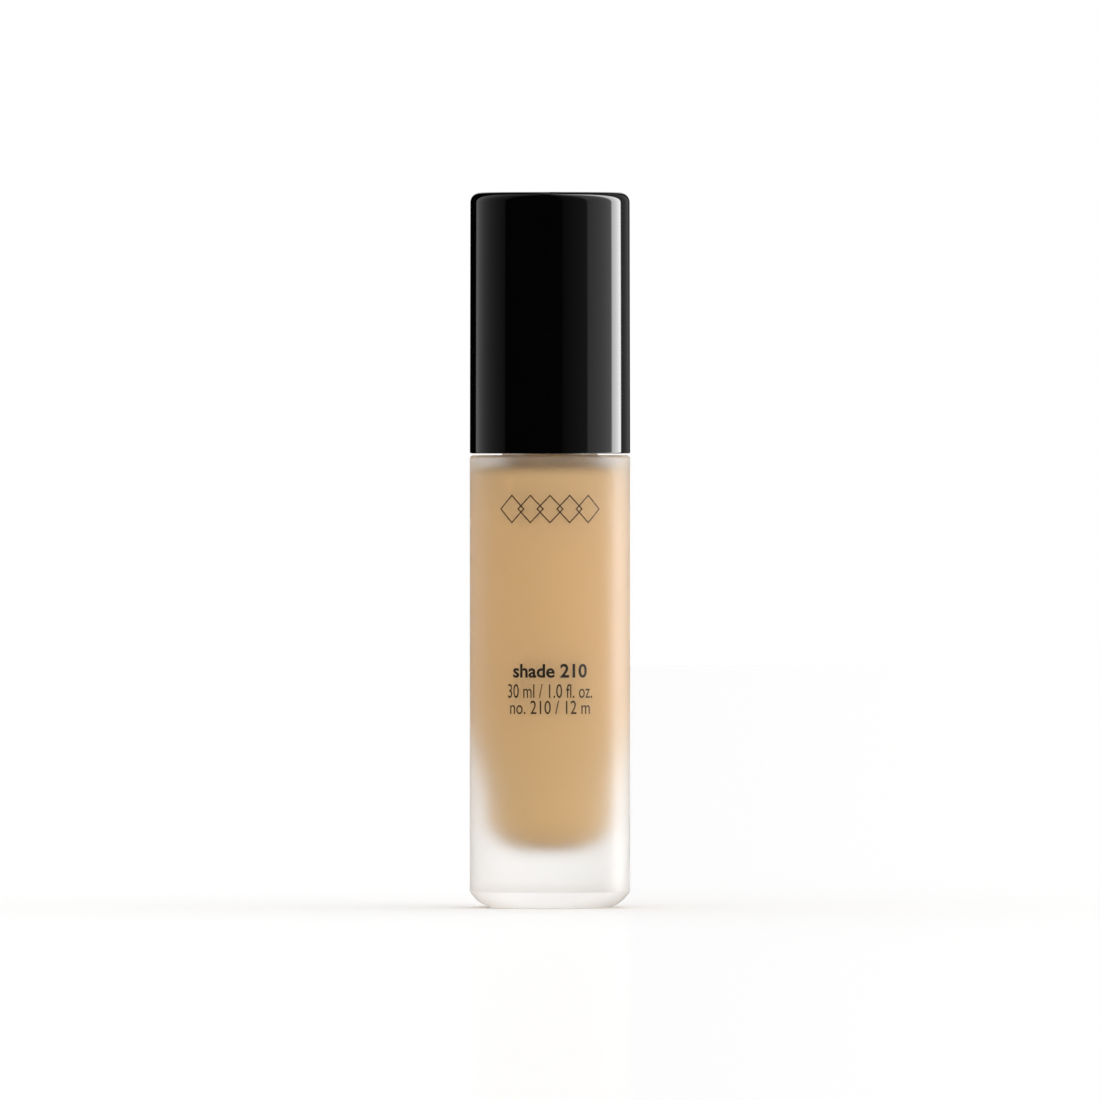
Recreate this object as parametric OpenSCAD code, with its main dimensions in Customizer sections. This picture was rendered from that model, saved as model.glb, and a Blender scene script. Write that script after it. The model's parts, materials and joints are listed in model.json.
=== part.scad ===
// Pump bottle for liquid foundation: heavy-based frosted glass bottle, treatment pump with a
// ball valve, screw closure with a collar, swivelling pump head and a pull-off overcap.
// Millimetres. +Z is up, the origin is the centre of the base, and the nozzle faces -Y.

/* [Bottle] */
// Outer diameter of the glass body and of the overcap's rim
body_d = 31; // [31:0.5:40]
// Height of the glass body, from the base to the shoulder
body_h = 87.3; // [70:0.1:120]
// Thickness of the side wall above its taper
wall_t = 2.7; // [2:0.1:4]
// Thickness of the side wall below its taper
low_wall_t = 6.6; // [5:0.1:9]
// Height over which the side wall tapers
taper_h = 23; // [15:0.5:40]
// Thickness of the solid glass base
base_t = 11; // [5:0.1:18]
// Thickness of the shoulder
shoulder_t = 2.2; // [1.8:0.1:3]
// Width of the bevelled heel
heel_w = 3.7; // [1.5:0.1:5]
// Height of the bevelled heel
heel_h = 3.1; // [1.5:0.1:4.5]
// Radius of the shoulder's outer edge
shoulder_edge_r = 0.7; // [0.3:0.1:1.2]
// Depth of the recess under the base
punt_h = 0.5; // [0.3:0.1:1.5]

/* [Neck finish] */
// Diameter of the neck at the thread's root
neck_d = 18; // [15:0.1:18.2]
// Height of the neck above the shoulder
neck_h = 10; // [9.4:0.1:13]
// Diameter of the neck's bore
neck_bore_d = 13; // [12.2:0.1:14]
// Height of the thread's ridge
thread_depth = 0.85; // [0.6:0.05:0.95]
// Rise of the thread in one turn
thread_pitch = 3.175; // [3.1:0.005:3.6]
// Length of the thread in turns
thread_turns = 1.25; // [1:0.05:1.4]

/* [Closure and collar] */
// Wall of the threaded closure ring
closure_wall_t = 1.3; // [1:0.1:1.4]
// Wall of the collar that covers the closure ring
collar_wall_t = 0.95; // [0.8:0.05:1.05]
// Number of knurls round the closure ring
knurl_count = 24; // [12:1:36]

/* [Overcap] */
// Height of the overcap
cap_h = 50.4; // [46:0.1:64]
// Gap between the overcap's rim and the shoulder
cap_gap = 0.35; // [0.2:0.05:1]
// How much smaller the overcap's radius is at its top
cap_draft = 0.1; // [0:0.05:0.3]
// Radius of the overcap's top edge
cap_edge_r = 1.9; // [0.5:0.1:3]
// Wall of the overcap's outer shell
cap_wall_t = 1.5; // [1:0.1:1.6]
// Thickness of the overcap's top
cap_top_t = 1.8; // [1.2:0.1:3]
// Height of the liner inside the overcap
liner_h = 20; // [17:0.5:24]

/* [Pump head] */
// Diameter of the pump head
head_d = 19.2; // [16:0.1:20]
// Free height between the pump head and the overcap's top
head_room = 6.6; // [5:0.1:9]
// How far the nozzle's tip stays inside the collar's radius
nozzle_inset = 0.9; // [0.7:0.1:1.6]
// Outer diameter of the spout
spout_d = 4.8; // [4.2:0.1:6]
// Diameter of the nozzle's orifice
orifice_d = 1.2; // [0.8:0.1:1.6]

/* [Pump] */
// Travel of the pump head
stroke = 4.5; // [3:0.1:6]
// Bore of the pump housing
chamber_d = 7.4; // [7:0.1:8.9]
// Wall of the pump housing
housing_wall_t = 1; // [0.8:0.05:1.1]
// Outer diameter of the upper stem
stem_d = 5; // [4.8:0.1:6]
// Outer diameter of the lower stem's rod
rod_d = 3; // [2.8:0.1:3.2]
// Wire of the return spring
wire_d = 0.6; // [0.5:0.05:0.7]
// Turns of the return spring
spring_turns = 6; // [5:0.5:7]
// Diameter of the inlet valve's ball
ball_d = 3.2; // [3:0.1:3.4]
// How far the inlet valve's ball lifts
ball_lift = 0.8; // [0.5:0.1:1.2]
// Outer diameter of the dip tube
tube_d = 3; // [2.6:0.1:3.2]
// Gap between the dip tube's end and the cavity's floor
tube_gap = 1.2; // [0.8:0.1:3]

/* [Hidden] */
$fn = 72;
eps = 0.01;
slide_gap = 0.1;      // radial gap round a part that slides or turns
seal_gap = 0.05;      // gap at a seal or a stop, which the real part closes
fluid_gap = 0.15;     // gap between the fluid and the pump that hangs in it

// Glass
body_r = body_d / 2;
base_r = body_r - heel_w;
cavity_r = body_r - wall_t;
punt_r = base_r - 2;
label_t = 0.1;
heel_bulge = 0.4;                       // how far the heel bulges past a straight bevel
cavity_foot_r = 2.5;                    // flat floor of the cavity
cavity_low_r = body_r - low_wall_t;     // cavity radius just above its rounded floor
cavity_bowl_h = 7.5;                    // height of the rounded floor
cavity_edge_r = 2.4;                    // radius of the cavity's upper corner
z_ceiling = body_h - shoulder_t;
z_fill = body_h - 0.6;                  // level of the fluid, in the neck

// Neck and thread
neck_r = neck_d / 2;
neck_bore_r = neck_bore_d / 2;
crest_r = neck_r + thread_depth;
z_land = body_h + neck_h;
thread_z = body_h + 3.7;                // middle of the ridge where it starts
ridge_root_w = 1.7;
ridge_crest_w = 0.7;
ridge_steps = 30;                       // steps of the ridge in one turn
closure_thread_z = thread_z - thread_pitch / 2 + 0.4;

// Stack on the neck's land
gasket_t = 1;
flange_t = 1.2;
chaplet_flange_t = 1;
closure_top_t = 1.4;
collar_top_t = 0.9;
z_flange = z_land + gasket_t;
z_chaplet = z_flange + flange_t;
z_closure_under = z_chaplet + chaplet_flange_t;
z_closure_top = z_closure_under + closure_top_t;
z_collar_top = z_closure_top + collar_top_t;
z_turret_top = z_collar_top + 1.5;

// Closure and collar radii
closure_bore_r = crest_r + 0.35;
closure_r = closure_bore_r + closure_wall_t;
knurl_h = 0.25;
knurl_w = 0.6;
collar_bore_r = closure_r + knurl_h;
collar_r = collar_bore_r + collar_wall_t;
z_closure_bottom = body_h + 1;
z_collar_bottom = body_h + 0.6;
collar_edge_r = 0.5;
nozzle_reach = collar_r - nozzle_inset; // so that the overcap's liner passes over the nozzle
groove_h = 1.6;
groove_depth = 0.25;
z_groove = z_collar_bottom + 6;

// Pump, from the chaplet down
housing_r = chamber_d / 2 + housing_wall_t;
chamber_r = chamber_d / 2;
flange_r = neck_r + 0.2;
stem_r = stem_d / 2;
rod_r = rod_d / 2;
channel_r = 1.1;
plug_len = 2.75;
seal_t = 1;
stop_t = 1;
lost_motion = 0.45;                     // travel that opens the ports before the piston follows
piston_h = 4;
poppet_t = 1.2;
z_plug = z_chaplet - plug_len;
z_seal = z_plug - seal_t;
z_stop_top = z_seal - seal_gap;
z_stop = z_stop_top - stop_t;
z_piston_top = z_stop - lost_motion - seal_gap;
z_piston = z_piston_top - piston_h;
z_poppet_top = z_piston - seal_gap;
z_poppet = z_poppet_top - poppet_t;
spring_solid_h = spring_turns * wire_d;
spring_len = stroke + spring_solid_h + 1.9;
z_seat = z_poppet - spring_len;
spring_r = chamber_r - wire_d / 2 - 0.45;
stop_r = chamber_r - 0.4;
poppet_r = chamber_r - 0.5;
spigot_r = spring_r - wire_d / 2 - 0.5;
spigot_len = spring_len - stroke - 2;
rod_socket_len = 3.3;
port_r = 0.45;

// Inlet valve and dip tube
ball_r = ball_d / 2;
cage_r = ball_r + 0.6;
lip_t = 0.8;
lip_r = ball_r - 0.3;
notch_w = 0.7;
inlet_r = 0.9;
inlet_len = 1.5;
seat_h = cage_r - inlet_r;              // the seat is a 45 degree cone
ball_rise = (ball_r + 0.03) * sqrt(2) - inlet_r;    // height of the ball over the inlet channel
cage_h = ball_rise - seat_h + ball_r + ball_lift + seal_gap;
socket_len = 6.5;
tube_r = tube_d / 2;
tube_bore_r = tube_r - 0.5;
socket_r = tube_r + 1;
z_lip = z_seat - lip_t;
z_cage = z_lip - cage_h;
z_inlet_top = z_cage - seat_h;
z_socket_top = z_inlet_top - inlet_len;
z_socket = z_socket_top - socket_len;
z_tube = base_t + tube_gap;
z_ball = z_inlet_top + ball_rise;

// Chaplet
chaplet_r = flange_r - 1.2;
turret_r = 4.6;
chaplet_bore_r = stem_r + slide_gap;

// Overcap
z_rim = body_h + cap_gap;
z_cap_top = z_rim + cap_h;
z_cap_ceiling = z_cap_top - cap_top_t;
liner_bore_r = collar_r + slide_gap;
liner_step_r = nozzle_reach + 0.3;
z_liner = z_rim + 0.8;
z_liner_top = z_liner + liner_h;
z_liner_step = z_collar_top + seal_gap;
liner_step_t = 1.2;
bead_h = 1.2;
z_bead = z_groove + (groove_h - bead_h) / 2;

// Pump head
head_r = head_d / 2;
z_skirt = z_collar_top + stroke + 0.4;
z_head_top = z_cap_ceiling - head_room;
head_wall_t = 0.9;
core_r = head_r - head_wall_t;
z_core_top = z_head_top - 1.2;
hub_r = 4.2;
z_hub = z_turret_top + stroke + 0.2;
stem_socket_len = 5;
z_stem_top = z_hub + stem_socket_len;
core_disc_t = 1.2;
z_spout = z_head_top - 6.4;
spout_r = spout_d / 2;
rib_count = 6;
rib_t = 0.8;
tip_r = spout_r - 0.7;
tip_len = 3;
dish_r = 32;                            // radius of the dish for the fingertip
dish_depth = 0.7;

// ---- Shared shapes ----

// Points on an arc of radius r about [x, z], from angle a to angle b
function arc(x, z, r, a, b, n = 6) =
    [for (i = [0 : n]) let (t = a + (b - a) * i / n) [x + r * cos(t), z + r * sin(t)]];

// Points from p to q on an arc that bulges to the right of the line by h
function bulge(p, q, h, n = 8) =
    let (
        d = q - p,
        side = [d.y, -d.x] / norm(d)
    )
    [for (i = [0 : n]) let (t = i / n) p + d * t + side * h * 4 * t * (1 - t)];

// Tube or ring between two radii and two heights
module ring(outer, inner, z0, z1) {
    difference() {
        translate([0, 0, z0]) cylinder(r = outer, h = z1 - z0);
        translate([0, 0, z0 - 1]) cylinder(r = inner, h = z1 - z0 + 2);
    }
}

// Square with a concave quarter circle, which rounds an outer corner when it is cut away
module corner_cut(r) {
    difference() {
        square(r + 1);
        circle(r);
    }
}

// Solid through a row of like sections, whose points run anticlockwise to someone facing along the row
module sweep(sections) {
    k = len(sections[0]);
    n = len(sections) - 1;
    sides = [for (i = [0 : n - 1], j = [0 : k - 1])
        let (a = i * k + j, b = i * k + (j + 1) % k)
        each [[a, b, b + k], [a, b + k, a + k]]];
    ends = [[for (j = [k - 1 : -1 : 0]) j], [for (j = [0 : k - 1]) n * k + j]];
    polyhedron([for (section = sections) each section], concat(sides, ends));
}

// The point p = [radius, height] at angle a round the Z axis
function on_axis(p, a) = [p.x * cos(a), p.x * sin(a), p.y];

// List in the opposite order
function reversed(list) = [for (i = [len(list) - 1 : -1 : 0]) list[i]];

// Thread ridge that stands out from radius root by depth, or inwards when depth is negative.
// Its flanks run on into the wall, and it fades out at both ends.
module thread_ridge(root, depth, z0) {
    sink = 0.4;
    foot_w = ridge_root_w + 2 * sink * (ridge_root_w - ridge_crest_w) / 2 / abs(depth);
    fade = 3;
    least = 0.3;
    steps = round(thread_turns * ridge_steps);
    function stand(i) = depth * min(1, least + i / fade, least + (steps - i) / fade);
    function outline(r, z) = [
        [root - sink * sign(depth), z - foot_w / 2], [r, z - ridge_crest_w / 2],
        [r, z + ridge_crest_w / 2], [root - sink * sign(depth), z + foot_w / 2]
    ];
    sweep([for (i = [0 : steps])
        let (
            turn = i / ridge_steps,
            points = outline(root + stand(i), z0 + thread_pitch * turn)
        )
        [for (p = depth > 0 ? points : reversed(points)) on_axis(p, 360 * turn)]]);
}

// ---- Glass and contents ----

// Outline of the cavity's half section, from its floor up to its ceiling
function cavity_outline() = concat(
    [[0, base_t], [cavity_foot_r, base_t]],
    [for (i = [1 : 9]) let (t = 90 * i / 9)
        [cavity_foot_r + (cavity_low_r - cavity_foot_r) * sin(t), base_t + cavity_bowl_h * (1 - cos(t))]],
    [for (i = [1 : 8]) let (t = i / 8)
        [cavity_low_r + (cavity_r - cavity_low_r) * (1 - cos(180 * t)) / 2,
         base_t + cavity_bowl_h + taper_h * t]],
    arc(cavity_r - cavity_edge_r, z_ceiling - cavity_edge_r, cavity_edge_r, 0, 90),
    [[0, z_ceiling]]
);

module cavity() {
    rotate_extrude() polygon(cavity_outline());
}

module glass_bottle() {
    outline = concat(
        [[0, punt_h], [punt_r - 0.6, punt_h], [punt_r, 0]],
        bulge([base_r, 0], [body_r, heel_h], heel_bulge),
        arc(body_r - shoulder_edge_r, body_h - shoulder_edge_r, shoulder_edge_r, 0, 90),
        arc(neck_r + 0.6, body_h + 0.6, 0.6, 270, 180, 4),
        arc(neck_r - 0.5, z_land - 0.5, 0.5, 0, 90, 4),
        [[0, z_land]]
    );
    color([0.93, 0.92, 0.90, 0.55])
    difference() {
        union() {
            rotate_extrude() polygon(outline);
            thread_ridge(neck_r, thread_depth, thread_z);
        }
        cavity();
        translate([0, 0, z_ceiling - 1]) cylinder(r = neck_bore_r, h = neck_h + shoulder_t + 2);
    }
}

module foundation_fluid() {
    color([0.78, 0.62, 0.45])
    difference() {
        union() {
            cavity();
            translate([0, 0, z_ceiling - 1]) cylinder(r = neck_bore_r, h = z_fill - z_ceiling + 1);
        }
        translate([0, 0, z_cage - seat_h - fluid_gap])
            cylinder(r = housing_r + fluid_gap, h = body_h);
        translate([0, 0, z_socket - fluid_gap]) cylinder(r = socket_r + fluid_gap, h = body_h);
        translate([0, 0, z_tube - tube_gap / 2]) cylinder(r = tube_r + fluid_gap, h = body_h);
    }
}

module base_label() {
    color([0.96, 0.96, 0.95])
    translate([0, 0, punt_h - label_t]) cylinder(r = punt_r - 1.2, h = label_t);
}

// ---- Pump unit ----

module neck_gasket() {
    color([0.92, 0.92, 0.90]) ring(flange_r, housing_r + 0.3, z_land, z_flange);
}

module pump_housing() {
    color([0.93, 0.94, 0.95])
    difference() {
        union() {
            translate([0, 0, z_flange]) cylinder(r = flange_r, h = flange_t);
            translate([0, 0, z_cage]) cylinder(r = housing_r, h = z_flange - z_cage + eps);
            translate([0, 0, z_inlet_top]) cylinder(r1 = socket_r, r2 = housing_r, h = seat_h);
            translate([0, 0, z_socket]) cylinder(r = socket_r, h = z_inlet_top - z_socket);
        }
        translate([0, 0, z_seat]) cylinder(r = chamber_r, h = z_chaplet - z_seat + 1);
        translate([0, 0, z_lip - eps]) cylinder(r = lip_r, h = lip_t + 1);
        // notches that let the fluid past the lifted ball
        for (a = [0, 60, 120]) rotate([0, 0, a])
            translate([-cage_r, -notch_w / 2, z_lip - eps]) cube([2 * cage_r, notch_w, lip_t + 2 * eps]);
        translate([0, 0, z_cage]) cylinder(r = cage_r, h = cage_h);
        translate([0, 0, z_inlet_top]) cylinder(r1 = inlet_r, r2 = cage_r, h = seat_h);
        translate([0, 0, z_socket_top - eps]) cylinder(r = inlet_r, h = inlet_len + 1);
        translate([0, 0, z_socket - 1]) cylinder(r = tube_r, h = socket_len + 1);
        // air vent, between the piston's two lips at rest
        translate([0, 0, z_piston + piston_h / 2]) rotate([0, 90, 0]) cylinder(r = 0.4, h = housing_r + 1);
    }
}

module chaplet() {
    turret_edge = 0.4;                  // bevel round the turret's top
    color([0.90, 0.91, 0.92])
    difference() {
        union() {
            translate([0, 0, z_plug]) cylinder(r = chamber_r, h = plug_len);
            translate([0, 0, z_chaplet]) cylinder(r = chaplet_r, h = chaplet_flange_t);
            translate([0, 0, z_closure_under])
                cylinder(r = turret_r, h = z_turret_top - z_closure_under - turret_edge);
            translate([0, 0, z_turret_top - turret_edge])
                cylinder(r1 = turret_r, r2 = turret_r - turret_edge, h = turret_edge);
        }
        translate([0, 0, z_plug - 1]) cylinder(r = chaplet_bore_r, h = z_turret_top - z_plug + 2);
        // relief above the guide, so that the stem runs in its lower half only
        translate([0, 0, z_turret_top - 2.4]) cylinder(r = chaplet_bore_r + 0.7, h = 3);
    }
}

module stem_seal() {
    color([0.25, 0.25, 0.27]) ring(chamber_r - seal_gap, stem_r + seal_gap, z_seal, z_plug);
}

module dip_tube() {
    color([0.96, 0.96, 0.94])
    difference() {
        ring(tube_r, tube_bore_r, z_tube, z_socket_top);
        // slanted end, so that the floor can't close it
        translate([-tube_d, -tube_r, z_tube]) rotate([35, 0, 0]) translate([0, 0, -tube_d])
            cube([2 * tube_d, 2 * tube_d, tube_d]);
    }
}

// Helical wire with closed ends, between the housing's seat and the poppet
module return_spring() {
    sides = 6;
    steps = 16;
    closed_share = 0.12;                // share of the height that each closed end turn takes
    rise = spring_len - wire_d;
    function share(t) = t < 1 ? closed_share * t
        : t > spring_turns - 1 ? 1 - closed_share * (spring_turns - t)
        : closed_share + (1 - 2 * closed_share) * (t - 1) / (spring_turns - 2);
    color([0.75, 0.76, 0.78])
    sweep([for (i = [0 : spring_turns * steps])
        let (
            turn = i / steps,
            z = z_seat + wire_d / 2 + rise * share(turn)
        )
        [for (j = [0 : sides - 1])
            let (b = 360 * j / sides)
            on_axis([spring_r + wire_d / 2 * cos(b), z + wire_d / 2 * sin(b)], 360 * turn)]]);
}

module inlet_ball() {
    color([0.80, 0.81, 0.83]) translate([0, 0, z_ball]) sphere(r = ball_r);
}

// ---- Piston and stems ----

// Floating piston: a hub on the rod, relieved round the stem's ports, a web, and a skirt
// with a sealing lip at each end
module pump_piston() {
    lip_h = 0.5;
    skirt_r = chamber_r - 0.2;
    web_t = 0.8;
    z_web = z_piston + 1.6;
    color([0.95, 0.95, 0.93])
    union() {
        ring(rod_r + 0.75, rod_r + 0.35, z_piston, z_piston + 1.9);
        ring(rod_r + 0.75, rod_r + seal_gap, z_piston + 1.8, z_piston_top);
        ring(skirt_r, rod_r + 0.7, z_web, z_web + web_t);
        ring(skirt_r, skirt_r - 0.5, z_piston + 0.2, z_piston_top - 0.2);
        ring(chamber_r - seal_gap, skirt_r - 0.5, z_piston + 0.2, z_piston + 0.2 + lip_h);
        ring(chamber_r - seal_gap, skirt_r - 0.5, z_piston_top - 0.2 - lip_h, z_piston_top - 0.2);
    }
}

module lower_stem() {
    z_top = z_stop + rod_socket_len;
    color([0.94, 0.95, 0.96])
    difference() {
        union() {
            translate([0, 0, z_poppet]) cylinder(r = poppet_r, h = poppet_t - 0.4);
            translate([0, 0, z_poppet_top - 0.4]) cylinder(r1 = poppet_r, r2 = poppet_r - 0.4, h = 0.4);
            translate([0, 0, z_poppet - spigot_len]) cylinder(r = spigot_r, h = spigot_len);
            translate([0, 0, z_poppet_top - eps]) cylinder(r = rod_r, h = z_top - z_poppet_top + eps);
        }
        // flow channel, and the cross ports that the piston covers at rest
        translate([0, 0, z_poppet_top + 0.4]) cylinder(r = rod_r - 0.6, h = z_top);
        translate([0, 0, z_poppet_top + 1]) rotate([0, 90, 0])
            cylinder(r = port_r, h = rod_d + 2, center = true);
    }
}

module upper_stem() {
    color([0.95, 0.95, 0.96])
    difference() {
        union() {
            translate([0, 0, z_stop]) cylinder(r = stop_r, h = stop_t);
            translate([0, 0, z_stop]) cylinder(r = stem_r, h = z_stem_top - z_stop);
        }
        translate([0, 0, z_stop - 1]) cylinder(r = rod_r, h = rod_socket_len + 1);
        translate([0, 0, z_stop]) cylinder(r = channel_r, h = z_stem_top - z_stop + 1);
    }
}

// ---- Pump head ----

// Cylinder along -Y from the axis, at the spout's height
module spout_rod(r, y0, y1) {
    translate([0, -y0, z_spout]) rotate([90, 0, 0]) cylinder(r = r, h = y1 - y0);
}

module actuator_core() {
    z_rib = z_hub + 2;
    color([0.12, 0.12, 0.13])
    difference() {
        union() {
            translate([0, 0, z_hub]) cylinder(r = hub_r, h = z_core_top - z_hub);
            translate([0, 0, z_core_top - core_disc_t]) cylinder(r = core_r, h = core_disc_t);
            for (i = [0 : rib_count - 1]) rotate([0, 0, i * 360 / rib_count + 30])
                translate([0, -rib_t / 2, z_rib]) cube([core_r, rib_t, z_core_top - z_rib - eps]);
            spout_rod(spout_r, 0, nozzle_reach);
        }
        translate([0, 0, z_hub - 1]) cylinder(r = stem_r, h = stem_socket_len + 1);
        translate([0, 0, z_hub]) cylinder(r = channel_r, h = z_spout - z_hub);
        spout_rod(channel_r - 0.1, 0, nozzle_reach);
        spout_rod(tip_r, nozzle_reach - tip_len, nozzle_reach + 1);
    }
}

module actuator_shell() {
    edge_r = 1.2;
    color([0.05, 0.05, 0.055])
    difference() {
        rotate_extrude() difference() {
            translate([0, z_skirt]) square([head_r, z_head_top - z_skirt]);
            translate([head_r - edge_r, z_head_top - edge_r]) corner_cut(edge_r);
        }
        translate([0, 0, z_skirt - 1]) cylinder(r = core_r, h = z_core_top - z_skirt + 1);
        translate([0, 0, z_head_top + dish_r - dish_depth]) sphere(r = dish_r, $fn = 128);
        spout_rod(spout_r, core_r - 2, head_r + 2);
    }
}

module nozzle_tip() {
    color([0.10, 0.10, 0.11])
    difference() {
        spout_rod(tip_r, nozzle_reach - tip_len, nozzle_reach);
        spout_rod(orifice_d / 2, 0, nozzle_reach + 1);
        // flared mouth
        translate([0, -nozzle_reach + 0.5, z_spout]) rotate([90, 0, 0])
            cylinder(r1 = orifice_d / 2, r2 = orifice_d / 2 + 0.5, h = 0.51);
    }
}

// ---- Closure and collar ----

module closure_ring() {
    color([0.10, 0.10, 0.11])
    difference() {
        union() {
            difference() {
                union() {
                    translate([0, 0, z_closure_bottom])
                        cylinder(r = closure_r, h = z_closure_top - z_closure_bottom);
                    for (i = [0 : knurl_count - 1]) rotate([0, 0, i * 360 / knurl_count])
                        translate([closure_r - 0.5, -knurl_w / 2, z_closure_bottom + 1])
                            cube([knurl_h + 0.48, knurl_w, z_closure_top - z_closure_bottom - 2]);
                }
                translate([0, 0, z_closure_bottom - 1])
                    cylinder(r = closure_bore_r, h = z_closure_under - z_closure_bottom + 1);
            }
            thread_ridge(closure_bore_r, -(thread_depth + 0.1), closure_thread_z);
        }
        translate([0, 0, z_closure_bottom]) cylinder(r = turret_r + 2 * slide_gap, h = neck_h + 10);
    }
}

module collar_shell() {
    hole_r = turret_r + 1;
    color([0.04, 0.04, 0.045])
    rotate_extrude() difference() {
        translate([hole_r, z_collar_bottom])
            square([collar_r - hole_r, z_collar_top - z_collar_bottom]);
        translate([0, z_collar_bottom - 1])
            square([collar_bore_r, z_closure_top - z_collar_bottom + 1]);
        translate([collar_r - collar_edge_r, z_collar_top - collar_edge_r]) corner_cut(collar_edge_r);
        translate([collar_r - groove_depth, z_groove]) square([1, groove_h]);
    }
}

// ---- Overcap ----

// Outer and inner radius of the overcap's shell at height z
function cap_r(z) = body_r - cap_draft * (z - z_rim) / cap_h;
function cap_bore_r(z) = cap_r(z) - cap_wall_t;

module overcap_shell() {
    inner_edge_r = 1.2;
    z_inner_edge = z_cap_ceiling - inner_edge_r;
    rim_edge = 0.25;
    color([0.02, 0.02, 0.022])
    rotate_extrude() difference() {
        polygon(concat(
            [[0, z_cap_top], [0, z_cap_ceiling]],
            arc(cap_bore_r(z_inner_edge) - inner_edge_r, z_inner_edge, inner_edge_r, 90, 0),
            [[cap_bore_r(z_rim), z_rim], [cap_r(z_rim) - rim_edge, z_rim],
             [cap_r(z_rim + rim_edge), z_rim + rim_edge], [cap_r(z_cap_top), z_cap_top]]
        ));
        translate([cap_r(z_cap_top - cap_edge_r) - cap_edge_r, z_cap_top - cap_edge_r])
            corner_cut(cap_edge_r);
    }
}

module overcap_liner() {
    rib_n = 8;
    rib_w = 0.8;
    relief = 0.3;                       // radial room round the collar between bead and ribs
    color([0.09, 0.09, 0.095])
    union() {
        rotate_extrude() polygon([
            [liner_bore_r + relief, z_liner], [cap_bore_r(z_liner), z_liner],
            [cap_bore_r(z_liner_top), z_liner_top], [liner_bore_r, z_liner_top],
            [liner_bore_r, z_liner_step + liner_step_t], [liner_step_r, z_liner_step + liner_step_t],
            [liner_step_r, z_liner_step], [liner_bore_r + relief, z_liner_step]
        ]);
        // bead that grips the collar at its groove
        ring(liner_bore_r + relief + 0.2, liner_bore_r, z_bead, z_bead + bead_h);
        // ribs that centre the collar
        for (i = [0 : rib_n - 1]) rotate([0, 0, i * 360 / rib_n])
            translate([liner_bore_r, -rib_w / 2, z_liner + 1])
                cube([relief + 0.2, rib_w, z_bead - z_liner - 2]);
    }
}

glass_bottle();
foundation_fluid();
base_label();
neck_gasket();
pump_housing();
chaplet();
stem_seal();
dip_tube();
return_spring();
inlet_ball();
pump_piston();
lower_stem();
upper_stem();
actuator_core();
actuator_shell();
nozzle_tip();
closure_ring();
collar_shell();
overcap_shell();
overcap_liner();
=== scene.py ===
"""Looks of a frosted glass foundation bottle with a treatment pump and a gloss overcap.

Every size is in metres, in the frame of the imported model: +Z is up, the origin is the centre
of the base, and the nozzle and the printed front face -Y.
"""

import json
import logging
import math
from dataclasses import dataclass, field
from enum import Enum
from typing import Callable, Sequence

import bmesh
import bpy
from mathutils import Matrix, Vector

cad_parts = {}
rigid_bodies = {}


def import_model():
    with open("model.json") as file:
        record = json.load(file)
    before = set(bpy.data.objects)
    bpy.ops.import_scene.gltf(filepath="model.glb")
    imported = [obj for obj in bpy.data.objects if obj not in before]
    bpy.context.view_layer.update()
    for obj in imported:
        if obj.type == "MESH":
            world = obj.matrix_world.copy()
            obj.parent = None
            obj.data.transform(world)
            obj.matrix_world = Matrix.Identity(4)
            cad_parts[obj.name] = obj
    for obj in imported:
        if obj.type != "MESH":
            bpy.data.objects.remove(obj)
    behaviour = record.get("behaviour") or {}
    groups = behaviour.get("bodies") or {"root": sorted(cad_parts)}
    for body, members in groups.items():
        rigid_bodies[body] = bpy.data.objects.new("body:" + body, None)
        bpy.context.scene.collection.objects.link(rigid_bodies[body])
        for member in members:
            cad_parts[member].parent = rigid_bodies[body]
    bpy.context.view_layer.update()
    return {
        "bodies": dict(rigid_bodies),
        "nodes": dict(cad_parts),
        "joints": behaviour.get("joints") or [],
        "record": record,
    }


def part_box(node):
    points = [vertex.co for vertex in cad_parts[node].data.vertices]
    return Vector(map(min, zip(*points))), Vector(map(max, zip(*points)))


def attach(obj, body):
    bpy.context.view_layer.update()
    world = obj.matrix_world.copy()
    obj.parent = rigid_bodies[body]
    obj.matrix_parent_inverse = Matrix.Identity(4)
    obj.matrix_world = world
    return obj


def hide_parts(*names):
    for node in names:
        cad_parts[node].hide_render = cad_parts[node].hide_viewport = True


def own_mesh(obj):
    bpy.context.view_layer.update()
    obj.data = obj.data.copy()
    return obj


LOG = logging.getLogger("foundation_bottle")
MM = 0.001
TOUCH = 1e-7          # points closer than this are one point
SEAM = 1e-6           # distance within which the ends of a turned shape are merged
END_WIDTH = 0.01      # how far a helix's end section may lie from its bearing, as a share of its radius
Colour = tuple[float, float, float]
Piece = bpy.types.Object
Socket = bpy.types.NodeSocket


# ---- Modelling ----


class Joining(Enum):
    """How one solid is combined with another."""

    ADD = "UNION"
    CUT = "DIFFERENCE"


@dataclass(frozen=True)
class Corner:
    """A corner of a turned outline: its radius, its height and the size of its rounding."""

    r: float
    z: float
    rounding: float = 0.0


def deselect() -> None:
    """Deselect every object."""
    bpy.ops.object.select_all(action="DESELECT")


def take(piece: Piece) -> None:
    """Make a piece the only selected and the active object.

    Args:
        piece: the object to work on.
    """
    deselect()
    piece.select_set(True)
    bpy.context.view_layer.objects.active = piece


def named(name: str) -> Piece:
    """Name the object that was added last.

    Args:
        name: the name for the object and its mesh.

    Returns:
        The active object.
    """
    piece = bpy.context.object
    piece.name = name
    piece.data.name = name
    return piece


def edit(piece: Piece) -> None:
    """Open a piece in edit mode with all of it selected.

    Args:
        piece: the mesh object to edit.
    """
    take(piece)
    bpy.ops.object.mode_set(mode="EDIT")
    bpy.ops.mesh.select_all(action="SELECT")


def close_edit() -> None:
    """Leave edit mode."""
    bpy.ops.object.mode_set(mode="OBJECT")


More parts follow.
